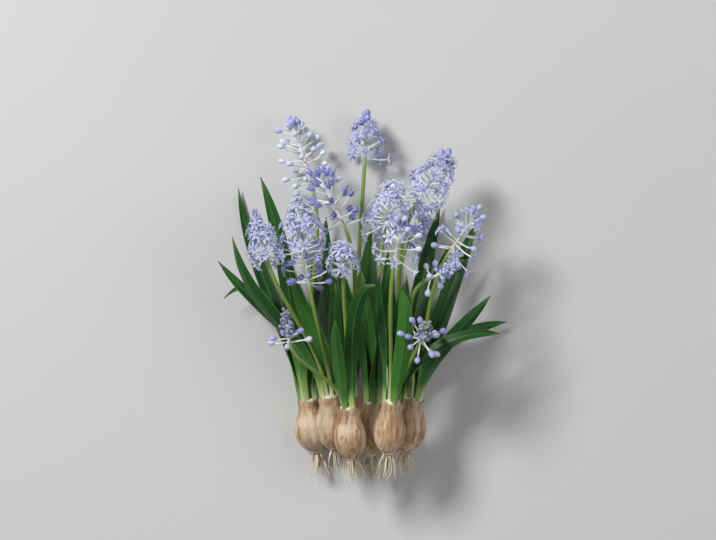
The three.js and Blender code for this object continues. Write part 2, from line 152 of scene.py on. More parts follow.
# Bulbs: radius, where it nestles and how far it settles there, its fan in plan and its lift in
# degrees, and its place along.
BULBS = [
    dict(radius=11.6, at=-27, fan=9, lift=0, along=-1),
    dict(radius=11.6, beside=0, fan=1, lift=0, along=1.5),
    dict(radius=11.8, beside=1, fan=-8, lift=0, along=-2),
    dict(radius=10.7, on=(0, 1), fan=6, lift=4, along=2, settle=0.8),
    dict(radius=11.2, on=(1, 2), fan=-2, lift=6, along=-1.5, settle=0.8),
    dict(radius=10.6, on=(4, 2), fan=-9, lift=5, along=1, settle=0),
    dict(radius=10.2, on=(3, 4), fan=4, lift=10, along=-3, settle=0.8),
    dict(radius=10.0, on=(4, 5), fan=-5, lift=10, along=0.5, settle=0.5),
]


def tier(start, end, count, reach, spread, carries, more=0, fill=None):
    """Pedicels from start to end of the rachis, with their lengths and angles at both ends and the order of
    what they carry. more is how many extra ones stand among them, and fill is what those carry."""
    return dict(start=start, end=end, count=count, reach=reach, spread=spread, carries=carries,
                more=more, fill=fill or carries)


# Flower stems: the bulb, the place round its neck in degrees, how violet the lowest and the
# topmost flowers are, how green the youngest buds and how pale the rachis, and the tiers of the
# raceme. Shades run from 0 to 1. Violet may run past either end, and is then held there.
# On stems 5, 12 and 13 the violet also holds painted shade, as noted at their rows.
# o is an open flower, h half open, b a bud, s a small bud.
STEMS = [
    dict(bulb=0, seat=90, violet=(-0.2, 0.45), green=0, pale=1.0, tiers=[
        tier((-27, 141, 17), (-36, 172, 17), 18, (17, 11), (98, 55), "b", 9, "bbh"),
        tier((-36, 172, 17), (-38, 178, 17), 7, (8, 5), (50, 12), "b", 4),
    ]),
    dict(bulb=1, seat=0, violet=(0.42, 0.6), green=0, pale=0.35, tiers=[
        tier((4, 158, 15), (5, 176, 15), 14, (13, 7), (88, 42), "o", 8, "oob"),
        tier((5, 176, 15), (5, 184.5, 15), 6, (5, 2), (60, 12), "b", 12, "s"),
    ]),
    dict(bulb=2, seat=120, violet=(0.25, 0.5), green=0, pale=0.6, tiers=[
        tier((35, 133, 38), (47, 152, 38), 20, (14, 10), (122, 30), "o", 18),
        tier((47, 152, 38), (50, 157, 38), 4, (9, 6), (40, 8), "b", 4),
    ]),
    dict(bulb=1, seat=180, violet=(0.8, 0.6), green=0, pale=0.8, tiers=[
        tier((-8, 118, 38), (-21, 145, 36), 18, (17, 9), (95, 20), "h", 12),
    ]),
    # Stem 5: the deep violet low on the raceme is partly the buds' own colour and partly painted shade, where
    # its lower flowers lie in shadow.
    dict(bulb=3, seat=20, violet=(0.75, 0.0), green=0, pale=0.6, tiers=[
        tier((-28, 84, 62), (-31, 102, 62), 7, (13, 11), (95, 75), "bh", 13, "hhob"),
        tier((-31, 102, 62), (-33, 124, 62), 21, (15, 10.5), (92, 8), "o", 26),
    ]),
    dict(bulb=3, seat=120, violet=(0.1, 0.5), green=0.5, pale=0.45, tiers=[
        tier((-52, 99, 68), (-56, 114, 68), 10, (9, 7), (105, 50), "o", 18),
        tier((-56, 114, 68), (-59, 125, 68), 9, (5.4, 3), (75, 20), "s", 26),
    ]),
    dict(bulb=4, seat=90, violet=(0.3, 0.05), green=0, pale=0.6, tiers=[
        tier((16, 118, 48), (19, 133.5, 62), 21, (14, 11), (128, 5), "oooooob", 20, "o"),
    ]),
    dict(bulb=6, seat=0, violet=(0.1, 0.02), green=0, pale=0.6, tiers=[
        tier((-8.5, 94, 74), (-8.5, 101, 79), 15, (9.5, 7.5), (98, 8), "ooooooob", 12, "o"),
    ]),
    dict(bulb=7, seat=140, violet=(-0.5, 1.1), green=0, pale=0.6, tiers=[
        tier((21, 99, 82), (24, 113, 84), 13, (15, 11), (125, 25), "ooooobbobbbbb"),
        tier((24, 113, 84), (25, 118, 84.5), 0, (6.5, 4), (95, 20), "s", 16),
    ]),
    dict(bulb=5, seat=40, violet=(0.35, 0.3), green=0, pale=0.5, tiers=[
        tier((53, 103, 50), (66, 122, 52), 16, (16, 9), (115, 20), "ob", 10),
    ]),
    dict(bulb=5, seat=130, violet=(0.15, 0.3), green=0.3, pale=0.75, tiers=[
        tier((41, 88, 74), (46, 90, 75), 5, (10, 7), (120, 80), "b"),
        tier((46, 90, 75), (56, 95, 77), 11, (4.6, 3.2), (88, 25), "s", 34),
    ]),
    # Stems 12 and 13: their deep violet is partly the small buds' own slate violet and partly painted shade.
    dict(bulb=6, seat=180, violet=(0.0, 1.05), green=0.85, pale=0.6, tiers=[
        tier((-39, 51, 72), (-40, 55, 73), 6, (13, 9), (100, 70), "b"),
        tier((-40, 55, 73), (-41, 68, 75), 13, (4.6, 3.4), (88, 24), "s", 44),
    ]),
    dict(bulb=7, seat=340, violet=(0.15, 1.0), green=1.0, pale=0.6, tiers=[
        tier((35.5, 51.5, 71), (37, 55.5, 77), 10, (13.5, 11), (110, 60), "b", 2),
        tier((37, 55.5, 77), (39, 61, 84), 13, (5.2, 3.6), (88, 25), "s", 36),
    ]),
    dict(bulb=2, seat=0, violet=(0.6, 0.55), green=0, pale=0.4, tiers=[
        tier((30, 110, 15), (38, 126, 15), 9, (9, 6), (100, 20), "o", 14),
    ]),
]

# Leaves: the bulb, the place round its neck, the point that bends the blade, its tip, the
# greatest width, the angle of its fold, and the way its upper face turns, in degrees.
LEAVES = [
    (0, 238, (-64, 92, -2), (-71, 141, 3), 9, 18, 90),
    (0, 112, (-40, 100, 32), (-57, 147, 32), 11, 16, 280),
    (0, 308, (-34, 70, 1), (-50, 114, 5), 9, 16, 100),
    (0, 175, (-54, 104, 17), (-79, 76, 16), 6, 18, 60),
    (1, 215, (-20, 80, 4), (-19, 124, 8), 10, 14, 80),
    (1, 290, (2, 80, 2), (8, 118, 4), 9, 14, 90),
    (2, 22, (58, 58, 14), (88, 62, 6), 9, 18, 110),
    (2, 306, (36, 80, 1), (49, 131, 3), 11, 16, 100),
    (2, 235, (15, 80, 9), (18, 104, 12), 9, 14, 80),
    (3, 159, (-66, 66, 52), (-73, 112, 46), 11, 22, 310),
    (3, 236, (-60, 68, 32), (-82, 98, 28), 9, 18, 60),
    (3, 314, (-30, 60, 32), (-40, 92, 36), 10, 14, 90),
    (4, 160, (-8, 74, 48), (-14, 106, 50), 10, 14, 310),
    (4, 20, (18, 70, 40), (20, 100, 38), 9, 14, 250),
    (4, 270, (6, 70, 27), (9, 106, 26), 10, 14, 90),
    (5, 338, (52, 78, 36), (70, 122, 32), 12, 20, 100),
    (5, 257, (38, 70, 24), (54, 108, 20), 9, 16, 90),
    (5, 186, (27, 60, 40), (28, 90, 46), 9, 14, 320),
    (5, 58, (58, 56, 54), (76, 78, 62), 9, 18, 260),
    (6, 50, (-6, 84, 80), (10, 84, 84), 9, 16, 270),
    (6, 228, (-15, 60, 59), (-13, 85, 61), 9, 14, 80),
    (6, 120, (-14, 50, 76), (-13, 64, 80), 8, 16, 290),
    (7, 72, (31, 65, 74), (24, 83, 74), 10, 16, 270),
    (7, 190, (8, 66, 62), (12, 90, 64), 9, 14, 310),
    (7, 320, (56, 60, 64), (82, 56, 56), 8, 18, 150),
    (7, 265, (22, 64, 55), (27, 86, 58), 8, 14, 90),
    (2, 165, (13, 68, 16), (16, 92, 20), 8, 14, 80),
    (2, 80, (50, 66, 13), (66, 104, 18), 8, 14, 85),
    (4, 80, (5, 66, 46), (2, 92, 43), 8, 14, 90),
    (0, 20, (-20, 70, 13), (-28, 96, 8), 8, 14, 90),
]


def at(place):
    """A point of the tables, in metres in the clump's frame."""
    return (Vector(place) + TO_MIDDLE) * MM


def blend(a, b, share):
    return a + (b - a) * share


def ease(share):
    """0 to 1 with a soft start and end."""
    share = min(max(share, 0.0), 1.0)
    return share * share * (3 - 2 * share)


def wander(first, second):
    """A number between -1 and 1, spread evenly, that is always the same for the same two keys."""
    wave = math.sin(first * 12.9898 + second * 78.233) * 43758.5453
    return 2 * (wave - math.floor(wave)) - 1


def sideways(axis):
    """Two directions square to an axis."""
    helper = Vector((0, 0, 1)) if abs(axis.z) < 0.9 else Vector((1, 0, 0))
    first = axis.cross(helper).normalized()
    return first, axis.cross(first).normalized()


def facing(place, axis, turn=0.0, size=1.0):
    """The matrix that stands a shape made along Z on a place, along an axis."""
    first, second = sideways(axis)
    square = Matrix((first, second, axis)).transposed().to_4x4()
    return Matrix.Translation(place) @ square @ Matrix.Rotation(turn, 4, "Z") @ Matrix.Scale(size, 4)


def bezier(points, share):
    """A point of the curve that the given points steer."""
    while len(points) > 1:
        points = [a.lerp(b, share) for a, b in zip(points, points[1:])]
    return points[0]


def heading(points, share):
    """The direction of the same curve."""
    return bezier([b - a for a, b in zip(points, points[1:])], share).normalized()


def place_bulbs():
    """Finds each bulb's middle and turn: the first row on the floor, the others nestled between two below."""
    for bulb in BULBS:
        if "at" in bulb:
            bulb["x"], bulb["z"] = bulb["at"], bulb["radius"] * FLAT_SHARE
        elif "beside" in bulb:
            beside = BULBS[bulb["beside"]]
            bulb["x"] = beside["x"] + beside["radius"] + bulb["radius"] + GAP
            bulb["z"] = bulb["radius"] * FLAT_SHARE
        else:
            left, right = (BULBS[k] for k in bulb["on"])
            to_left = left["radius"] + bulb["radius"] + GAP - bulb["settle"]
            to_right = right["radius"] + bulb["radius"] + GAP - bulb["settle"]
            span = math.hypot(right["x"] - left["x"], right["z"] - left["z"])
            along = (to_left ** 2 - to_right ** 2 + span ** 2) / (2 * span)
            above = math.sqrt(to_left ** 2 - along ** 2)
            ux, uz = (right["x"] - left["x"]) / span, (right["z"] - left["z"]) / span
            upward = 1 if ux >= 0 else -1
            bulb["x"] = left["x"] + ux * along - uz * above * upward
            bulb["z"] = left["z"] + uz * along + ux * above * upward
        fan, lift = math.radians(bulb["fan"]), math.radians(bulb["lift"])
        bulb["turn"] = Matrix.Rotation(lift, 3, "X") @ Matrix.Rotation(fan, 3, "Z")
        bulb["middle"] = Vector((bulb["x"], bulb["along"], bulb["z"]))
        bulb["axis"] = bulb["turn"] @ UP_THE_PLANT


def neck_point(bulb, seat, radius):
    """A point round the neck of a bulb, just clear of its top, in table millimetres."""
    angle = math.radians(seat)
    local = Vector((radius * math.cos(angle), BULB_ABOVE + GAP, radius * math.sin(angle)))
    return bulb["turn"] @ local + bulb["middle"]


def new_shape():
    """An empty shape whose points can say where on their piece they are and what shade they take."""
    bm = bmesh.new()
    for name in ("along", "across", "violet", "young", "tone"):
        bm.verts.layers.float.new(name)
    return bm


def mark(bm, verts, **values):
    for name, value in values.items():
        layer = bm.verts.layers.float[name]
        for vert in verts:
            vert[layer] = value


def verts_of(geometry):
    return [g for g in geometry if isinstance(g, bmesh.types.BMVert)]


def grow_tube(bm, stations, sides, finish=0):
    """A closed tube through stations of (middle, direction, radius, along)."""
    before = None
    for middle, direction, radius, along in stations:
        place = facing(middle, direction, size=radius)
        if before is None:
            verts = bmesh.ops.create_circle(bm, segments=sides, radius=1.0, matrix=place)["verts"]
            ring = list({edge for vert in verts for edge in vert.link_edges})
            caps = [bmesh.ops.contextual_create(bm, geom=ring)["faces"]]
        else:
            grown = bmesh.ops.extrude_edge_only(bm, edges=ring)["geom"]
            verts = verts_of(grown)
            found = set(verts)
            ring = [g for g in grown if isinstance(g, bmesh.types.BMEdge) and found.issuperset(g.verts)]
            bmesh.ops.transform(bm, matrix=place @ before.inverted(), verts=verts)
            caps.append([g for g in grown if isinstance(g, bmesh.types.BMFace)])
        mark(bm, verts, along=along)
        before = place
    caps.append(bmesh.ops.contextual_create(bm, geom=ring)["faces"])
    for faces in caps:
        for face in faces:
            face.material_index = finish


def add_piece(name, bm, finishes, node):
    """Makes a finished piece of a shape: it rides on the clump and stands for its CAD node."""
    bmesh.ops.recalc_face_normals(bm, faces=bm.faces)
    mesh = bpy.data.meshes.new(name)
    bm.to_mesh(mesh)
    bm.free()
    mesh.shade_smooth()
    mesh.set_sharp_from_angle(angle=math.radians(SHARP_ANGLE))
    for finish in finishes:
        mesh.materials.append(finish)
    piece = bpy.data.objects.new(name, mesh)
    bpy.context.scene.collection.objects.link(piece)
    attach(piece, "root")
    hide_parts(node)


# Finishes. Lengths are in metres here.

GLOW_DEPTH = 0.0012
LEAF_GLOSS = 0.28
VEIN_RATE = 36.0
VEIN_WOBBLE = 6.0
VEIN_STRENGTH = 0.26


def finish_of(name, roughness, subsurface=0.0, sheen=0.0):
    """A new finish with its shader's even values set."""
    material = bpy.data.materials.new(name)
    material.use_nodes = True
    shader = material.node_tree.nodes["Principled BSDF"]
    shader.inputs["Roughness"].default_value = roughness
    shader.inputs["Subsurface Weight"].default_value = subsurface
    shader.inputs["Subsurface Radius"].default_value = (1.0, 1.0, 0.8)
    shader.inputs["Subsurface Scale"].default_value = GLOW_DEPTH
    shader.inputs["Sheen Weight"].default_value = sheen
    return material, shader


def feed(material, source, socket):
    material.node_tree.links.new(source, socket)


def add_node(material, kind, feeds, **settings):
    """A node with its settings, whose sockets take the values or other nodes' sockets in feeds."""
    node = material.node_tree.nodes.new(kind)
    for name, value in settings.items():
        setattr(node, name, value)
    for socket, value in feeds.items():
        if isinstance(value, bpy.types.NodeSocket):
            feed(material, value, node.inputs[socket])
        else:
            node.inputs[socket].default_value = value
    return node


def paint(material, shader, colour):
    feed(material, colour, shader.inputs["Base Color"])


def read(material, name):
    """What the piece's points say of themselves."""
    return add_node(material, "ShaderNodeAttribute", {}, attribute_name=name).outputs["Fac"]


def sums(material, operation, *values):
    return add_node(material, "ShaderNodeMath", dict(enumerate(values)), operation=operation).outputs[0]


def shades(material, factor, stops):
    """A run of colours over a factor, from (position, colour) stops."""
    node = add_node(material, "ShaderNodeValToRGB", {"Fac": factor})
    ramp = node.color_ramp
    while len(ramp.elements) < len(stops):
        ramp.elements.new(0.5)
    for element, (position, colour) in zip(ramp.elements, stops):
        element.position = position
        element.color = (*colour, 1.0)
    return node.outputs["Color"]


def fades(material, factor, *stops):
    """A run of greys over a factor, from (position, brightness) stops."""
    return shades(material, factor, [(position, (grey,) * 3) for position, grey in stops])


def between(material, factor, first, second, how="MIX"):
    """Two colours mixed by a factor. Each is a socket, or its red, green and blue."""
    first, second = (c if isinstance(c, bpy.types.NodeSocket) else (*c, 1.0) for c in (first, second))
    feeds = {0: factor, 6: first, 7: second}
    return add_node(material, "ShaderNodeMix", feeds, data_type="RGBA", blend_type=how).outputs[2]


def grain(material, size, stretch=(1, 1, 1), detail=3.0):
    """Soft blotches of about a size, drawn out along the piece by stretch."""
    place = add_node(material, "ShaderNodeTexCoord", {}).outputs["Object"]
    mapped = add_node(material, "ShaderNodeMapping", {"Vector": place, "Scale": stretch}).outputs[0]
    feeds = {"Vector": mapped, "Scale": 1.0 / size, "Detail": detail}
    return add_node(material, "ShaderNodeTexNoise", feeds).outputs["Fac"]


def blotched(material, colour, tint, size, share):
    """A colour with soft blotches of a tint, of about a size."""
    return between(material, sums(material, "MULTIPLY", grain(material, size), share), colour, tint)


def emboss(material, shader, height, depth, strength=0.6):
    feeds = {"Height": height, "Distance": depth, "Strength": strength}
    bump = add_node(material, "ShaderNodeBump", feeds)
    feed(material, bump.outputs["Normal"], shader.inputs["Normal"])


def petal_lilac():
    """Tepals: whitish lilac to violet blue, with a deeper line along the middle."""
    material, shader = finish_of("petal lilac", 0.5, subsurface=0.25, sheen=0.1)
    violet, along = read(material, "violet"), read(material, "along")
    body = shades(material, violet, [
        (0.0, (0.74, 0.81, 0.97)), (0.25, (0.58, 0.64, 0.92)),
        (0.6, (0.30, 0.33, 0.77)), (1.0, (0.12, 0.13, 0.52)),
    ])
    middle = sums(material, "ABSOLUTE", read(material, "across"))
    narrow = fades(material, middle, (0.0, 1.0), (0.34, 0.0))
    ending = fades(material, along, (0.4, 1.0), (1.0, 0.2))
    line = between(material, 1.0, narrow, ending, "MULTIPLY")
    deep = between(material, 1.0, body, (0.26, 0.27, 0.72), "MULTIPLY")
    pale = between(material, 0.35, body, (0.88, 0.89, 1.0))
    edged = between(material, fades(material, middle, (0.55, 0.0), (1.0, 1.0)), body, pale)
    veined = between(material, line, edged, deep)
    paint(material, shader, blotched(material, veined, (0.90, 0.86, 1.0), 0.0012, 0.2))
    emboss(material, shader, middle, 0.0002)
    return material


def filament_white():
    """Stamen stalks: white, lilac at the foot."""
    material, shader = finish_of("filament white", 0.45, subsurface=0.2)
    colour = shades(material, read(material, "along"), [(0.0, (0.62, 0.62, 0.90)), (0.5, (0.90, 0.91, 0.97))])
    paint(material, shader, blotched(material, colour, (0.8, 0.78, 0.95), 0.001, 0.2))
    return material


def anther_violet():
    """Anthers: slate violet with a dusting of pale pollen."""
    material, shader = finish_of("anther violet", 0.75)
    speck = grain(material, 0.0003, detail=1.0)
    paint(material, shader, shades(material, speck, [(0.4, (0.10, 0.10, 0.30)), (0.7, (0.42, 0.43, 0.56))]))
    emboss(material, shader, speck, 0.0001)
    return material


def ovary_violet():
    """The seed vessel in the middle of the flower: violet, paler at both ends."""
    material, shader = finish_of("ovary violet", 0.4, subsurface=0.1)
    colour = shades(material, read(material, "along"), [
        (0.0, (0.60, 0.61, 0.80)), (0.55, (0.24, 0.23, 0.58)), (1.0, (0.60, 0.60, 0.86)),
    ])
    paint(material, shader, blotched(material, colour, (0.25, 0.22, 0.55), 0.0008, 0.3))
    return material


def bud_skin():
    """Closed buds: bluish white to violet blue, ribbed, greenish at the tip while young."""
    material, shader = finish_of("bud skin", 0.42, subsurface=0.15)
    violet, along = read(material, "violet"), read(material, "along")
    body = shades(material, violet, [
        (0.0, (0.78, 0.84, 0.92)), (0.3, (0.48, 0.53, 0.81)),
        (0.6, (0.24, 0.26, 0.62)), (1.0, (0.10, 0.11, 0.42)),
    ])
    ribs = sums(material, "ABSOLUTE", read(material, "across"))
    deep = between(material, 1.0, body, (0.6, 0.56, 0.84), "MULTIPLY")
    shaded = between(material, sums(material, "MULTIPLY", ribs, 0.5), body, deep)
    crown = fades(material, along, (0.35, 0.0), (0.85, 1.0))
    green = sums(material, "MULTIPLY", crown, read(material, "young"))
    tipped = between(material, green, shaded, (0.25, 0.29, 0.19))
    paint(material, shader, blotched(material, tipped, (0.9, 0.9, 0.98), 0.001, 0.2))
    emboss(material, shader, ribs, 0.0002)
    return material


def scape_green():
    """Flower stalk: whitish at the bulb, olive green above, lilac white among the flowers."""
    material, shader = finish_of("scape green", 0.42, subsurface=0.05)
    along = read(material, "along")
    stalk = shades(material, along, [
        (0.0, (0.80, 0.80, 0.60)), (0.08, (0.46, 0.55, 0.20)), (0.22, (0.19, 0.30, 0.05)),
        (0.6, (0.24, 0.35, 0.07)), (1.0, (0.34, 0.42, 0.16)),
    ])
    among_flowers = fades(material, along, (0.66, 0.0), (0.76, 1.0))
    pale = sums(material, "MULTIPLY", among_flowers, read(material, "tone"))
    colour = between(material, pale, stalk, (0.80, 0.73, 0.80))
    streak = grain(material, 0.0016, (1, 0.08, 1))
    shown = sums(material, "MULTIPLY", streak, 0.45)
    paint(material, shader, between(material, shown, colour, (0.16, 0.26, 0.05), "SOFT_LIGHT"))
    emboss(material, shader, streak, 0.0002, 0.4)
    return material


def pedicel_white():
    """Flower stalklets: lilac grey at the rachis, greenish white above, lilac white at the flower."""
    material, shader = finish_of("pedicel white", 0.45, subsurface=0.15)
    colour = shades(material, read(material, "along"), [
        (0.0, (0.76, 0.75, 0.78)), (0.3, (0.84, 0.89, 0.76)),
        (0.7, (0.90, 0.93, 0.88)), (1.0, (0.84, 0.87, 0.96)),
    ])
    paint(material, shader, blotched(material, colour, (0.66, 0.64, 0.86), 0.0015, 0.25))
    return material


def leaf_green():
    """Blades: blanched at the bulb, deep green above with painted shade deepest near the middle, fine
    parallel veins, a paler middle line, and margins painted pale as a highlight.
    """
    material, shader = finish_of("leaf green", 0.4, subsurface=0.03)
    shader.inputs["Specular IOR Level"].default_value = LEAF_GLOSS
    along, across = read(material, "along"), read(material, "across")
    # The blade's deep green is partly its own colour and partly painted shade of the dense clump, deepest
    # near the middle of its length.
    body = shades(material, along, [
        (0.0, (0.78, 0.79, 0.55)), (0.05, (0.42, 0.54, 0.18)), (0.15, (0.05, 0.17, 0.03)),
        (0.45, (0.005, 0.041, 0.007)), (0.93, (0.011, 0.070, 0.011)), (1.0, (0.14, 0.17, 0.04)),
    ])
    drift = sums(material, "ADD", grain(material, 0.03, (1, 0.3, 1), 2.0), read(material, "tone"))
    lighter = fades(material, drift, (0.3, 0.0), (0.85, 1.0))
    toned = between(material, lighter, body, (0.042, 0.165, 0.019))
    wobble = sums(material, "MULTIPLY", grain(material, 0.02, (1, 0.2, 1), 1.0), VEIN_WOBBLE)
    phase = sums(material, "ADD", sums(material, "MULTIPLY", across, VEIN_RATE), wobble)
    veins = sums(material, "MULTIPLY_ADD", sums(material, "SINE", phase), 0.5, 0.5)
    faint = grain(material, 0.012, (1, 0.15, 1), 2.0)
    shown = sums(material, "MULTIPLY", sums(material, "MULTIPLY", veins, faint), VEIN_STRENGTH)
    veined = between(material, shown, toned, (0.09, 0.25, 0.045))
    # Painted highlight: the margins are painted pale where light catches them, and a paler line runs along
    # the middle.
    edge = sums(material, "ABSOLUTE", across)
    pale = fades(material, edge, (0.0, 0.6), (0.07, 0.0), (0.95, 0.0), (1.0, 0.5))
    paint(material, shader, between(material, pale, veined, (0.15, 0.30, 0.08)))
    emboss(material, shader, veins, 0.0002, 0.1)
    return material


def bulb_tunic():
    """Papery bulb skin: tan, streaked along the bulb, with stains, and paler where it is worn."""
    material, shader = finish_of("bulb tunic", 0.55)
    streak = grain(material, 0.0022, (1, 0.12, 1), 5.0)
    patch = grain(material, 0.009, (1, 0.6, 1), 4.0)
    tan = shades(material, streak, [
        (0.28, (0.20, 0.10, 0.045)), (0.5, (0.46, 0.28, 0.14)), (0.72, (0.70, 0.52, 0.33)),
    ])
    stain = between(material, streak, (0.26, 0.13, 0.06), (0.78, 0.64, 0.46))
    skin = between(material, fades(material, patch, (0.45, 0.0), (0.62, 0.8)), tan, stain)
    inner = between(material, streak, (0.50, 0.31, 0.19), (0.80, 0.66, 0.50))
    paint(material, shader, between(material, read(material, "tone"), skin, inner))
    emboss(material, shader, streak, 0.0005, 0.7)
    return material


def scale_cream():
    """Fleshy bulb scales that show at the neck: cream, streaked."""
    material, shader = finish_of("scale cream", 0.4, subsurface=0.2)
    streak = grain(material, 0.0014, (1, 0.1, 1), 3.0)
    paint(material, shader, shades(material, streak, [(0.3, (0.66, 0.63, 0.38)), (0.7, (0.87, 0.85, 0.68))]))
    emboss(material, shader, streak, 0.0002, 0.4)
    return material


def root_cream():
    """Roots: cream, browner where soil clung."""
    material, shader = finish_of("root cream", 0.6, subsurface=0.1)
    soil = grain(material, 0.003, (1, 0.4, 1), 5.0)
    paint(material, shader, shades(material, soil, [
        (0.36, (0.34, 0.22, 0.12)), (0.5, (0.74, 0.66, 0.48)), (0.8, (0.87, 0.82, 0.68)),
    ]))
    emboss(material, shader, soil, 0.0003, 0.6)
    return material


def pale_floor():
    material, shader = finish_of("pale floor", 0.7)
    cloud = grain(material, 0.4, detail=2.0)
    paint(material, shader, shades(material, cloud, [(0.3, (0.61, 0.61, 0.60)), (0.7, (0.64, 0.64, 0.63))]))
    return material


# Shapes of one tepal, flower and bud, made round the origin with Z along the stalk, in millimetres.

PETAL, FILAMENT, ANTHER, OVARY, BUD = range(5)
TEPALS = 6
TEPAL_ROWS = 5
TEPAL_COLUMNS = 2
TEPAL_FOOT_SHARE = 0.45
TEPAL_SWELL_END = 0.9
TEPAL_TIP_LOSS = 0.92
TEPAL_CUP = 0.22
OPEN_REACH = 5.1
OPEN_REACH_LEAST = 0.9
OPEN_LIFTS = (-0.7, 0.5)
OPEN_WIDTHS = (1.45, 1.7)
OPEN_TURN_PLAY = 6
HALF_OPEN_WIDTH = 1.9
HALF_OPEN_FLARES = (0.8, 2.0)
HALF_OPEN_TURN_PLAY = 4
OUTER_TEPAL_STEP = 0.15
FILAMENT_RADII = ((0.0, 0.3), (0.45, 0.2), (1.0, 0.1))
ANTHER_LEAN = Vector((0.9, 0, 0.5))
ANTHER_RADIUS = 0.27
ANTHER_LENGTH = 0.8
STYLE_RADII = ((1.3, 0.2), (2.3, 0.12))
BUD_FOOT_SHARE = 0.42
BUD_RIBS = 0.05
BIG_BUD = dict(radius=2.0, below=3.1, above=2.4)
SMALL_BUD = dict(radius=1.5, below=1.7, above=1.8)


def tepal_width(share):
    """How much of its full width a tepal has along its length."""
    swell = math.sin(math.pi * min(share / TEPAL_SWELL_END, 1.0) ** 0.9)
    return blend(TEPAL_FOOT_SHARE, 1, swell) * (1 - share ** 6 * TEPAL_TIP_LOSS)


def tepal(bm, turn, outline, width, thickness=0.16):
    """One tepal as a thin closed blade, through outline points of (out, up) from its foot to its tip."""
    made = bmesh.ops.create_grid(bm, x_segments=TEPAL_COLUMNS, y_segments=TEPAL_ROWS, size=0.5)["verts"]
    faces = list({face for vert in made for face in vert.link_faces})
    along_of, across_of = bm.verts.layers.float["along"], bm.verts.layers.float["across"]
    curve = [Vector(p) for p in outline]
    for vert in made:
        across, along = vert.co.x * 2, vert.co.y + 0.5
        vert[along_of], vert[across_of] = along, across
        out, up = bezier(curve, along)
        lead_out, lead_up = heading(curve, along)
        half = width / 2 * tepal_width(along)
        cup = TEPAL_CUP * half * across ** 2
        vert.co = Vector((out - lead_up * cup, half * across, up + lead_out * cup)) * MM
    lift = verts_of(bmesh.ops.extrude_face_region(bm, geom=faces)["geom"])
    bmesh.ops.translate(bm, vec=(0, 0, thickness * MM), verts=lift)
    whole = list(set(made) | set(lift))
    bmesh.ops.rotate(bm, cent=(0, 0, 0), matrix=Matrix.Rotation(turn, 3, "Z"), verts=whole)
    for face in {face for vert in whole for face in vert.link_faces}:
        face.material_index = PETAL


def rounded(bm, place, radius, length, finish, sides=6, rings=4, profile=None, ribs=0.0):
    """An egg shape from place along Z, with its width set by a profile over its length."""
    made = bmesh.ops.create_uvsphere(bm, u_segments=sides, v_segments=rings, radius=1.0)["verts"]
    for vert in made:
        along = vert.co.z / 2 + 0.5
        turn = math.atan2(vert.co.y, vert.co.x)
        width = math.hypot(vert.co.x, vert.co.y)
        width *= (profile(along) if profile else 1.0) * (1 + ribs * math.cos(TEPALS * turn))
        vert[bm.verts.layers.float["across"]] = math.cos(TEPALS / 2 * turn) if ribs else 0.0
        vert[bm.verts.layers.float["along"]] = along
        wide = width * radius
        vert.co = Vector((wide * math.cos(turn), wide * math.sin(turn), along * length)) * MM
    bmesh.ops.translate(bm, vec=Vector(place) * MM, verts=made)
    for face in {face for vert in made for face in vert.link_faces}:
        face.material_index = finish
    return made


def stamen(bm, turn, *points):
    """A filament through points of (out, up) that tapers from a broad foot, with its anther."""
    curve = [Vector((out, 0, up)) * MM for out, up in points]
    spin = Matrix.Rotation(turn, 3, "Z")
    stations = []
    for share, radius in FILAMENT_RADII:
        stations.append((spin @ bezier(curve, share), spin @ heading(curve, share), radius * MM, share))
    grow_tube(bm, stations, 4, FILAMENT)
    anther = rounded(bm, (0, 0, -ANTHER_LENGTH / 2), ANTHER_RADIUS, ANTHER_LENGTH, ANTHER, sides=5, rings=3)
    place = facing(spin @ curve[-1], (spin @ ANTHER_LEAN).normalized())
    bmesh.ops.transform(bm, matrix=place, verts=anther)


def open_flower(bm, rng):
    """A star of six tepals round a ring of stamens and the seed vessel."""
    for k in range(TEPALS):
        turn = math.radians(360 / TEPALS * k + rng.uniform(-OPEN_TURN_PLAY, OPEN_TURN_PLAY))
        reach = OPEN_REACH * rng.uniform(OPEN_REACH_LEAST, 1.0)
        lift = rng.uniform(*OPEN_LIFTS)
        outline = ((0.45, -0.4), (2.0, 0.8 + lift), (3.6, 1.0 + lift), (reach, 0.2 + lift))
        tepal(bm, turn, outline, rng.uniform(*OPEN_WIDTHS))
        stamen(bm, turn, (0.65, 0.1), (1.0, 1.2), (1.9, 2.1 + lift * 0.3))
    rounded(bm, (0, 0, -0.2), 0.8, 1.6, OVARY, sides=8, rings=5)
    upward = Vector((0, 0, 1))
    style = [(upward * height * MM, upward, radius * MM, 1.0) for height, radius in STYLE_RADII]
    grow_tube(bm, style, 4, FILAMENT)
    rounded(bm, (0, 0, -1.0), 0.6, 1.2, PETAL)


def half_open_flower(bm, rng):
    """A bell of six tepals whose tips begin to part."""
    for k in range(TEPALS):
        turn = math.radians(360 / TEPALS * k + rng.uniform(-HALF_OPEN_TURN_PLAY, HALF_OPEN_TURN_PLAY))
        flare = rng.uniform(*HALF_OPEN_FLARES)
        outer = OUTER_TEPAL_STEP * (k % 2)
        outline = ((0.3, -2.4), (1.9 + outer, -1.4), (2.1 + outer, 2.0), (flare, 3.5))
        tepal(bm, turn, outline, HALF_OPEN_WIDTH, thickness=0.14)
    rounded(bm, (0, 0, -2.2), 1.25, 4.6, PETAL, profile=lambda share: 1.0 - 0.3 * share)
    rounded(bm, (0, 0, 1.6), 0.35, 1.9, FILAMENT, sides=5, rings=3)


def pear(share):
    """The width of a bud over its length: narrow at the stalk and full above."""
    return blend(BUD_FOOT_SHARE, 1, math.sin(math.pi * share ** 1.35 * 0.72))


def closed_bud(bm, radius, below, above):
    rounded(bm, (0, 0, -below), radius, below + above, BUD, sides=10, rings=6, profile=pear, ribs=BUD_RIBS)


TEMPLATES = {
    "o": open_flower,
    "h": half_open_flower,
    "b": lambda bm, rng: closed_bud(bm, **BIG_BUD),
    "s": lambda bm, rng: closed_bud(bm, **SMALL_BUD),
}


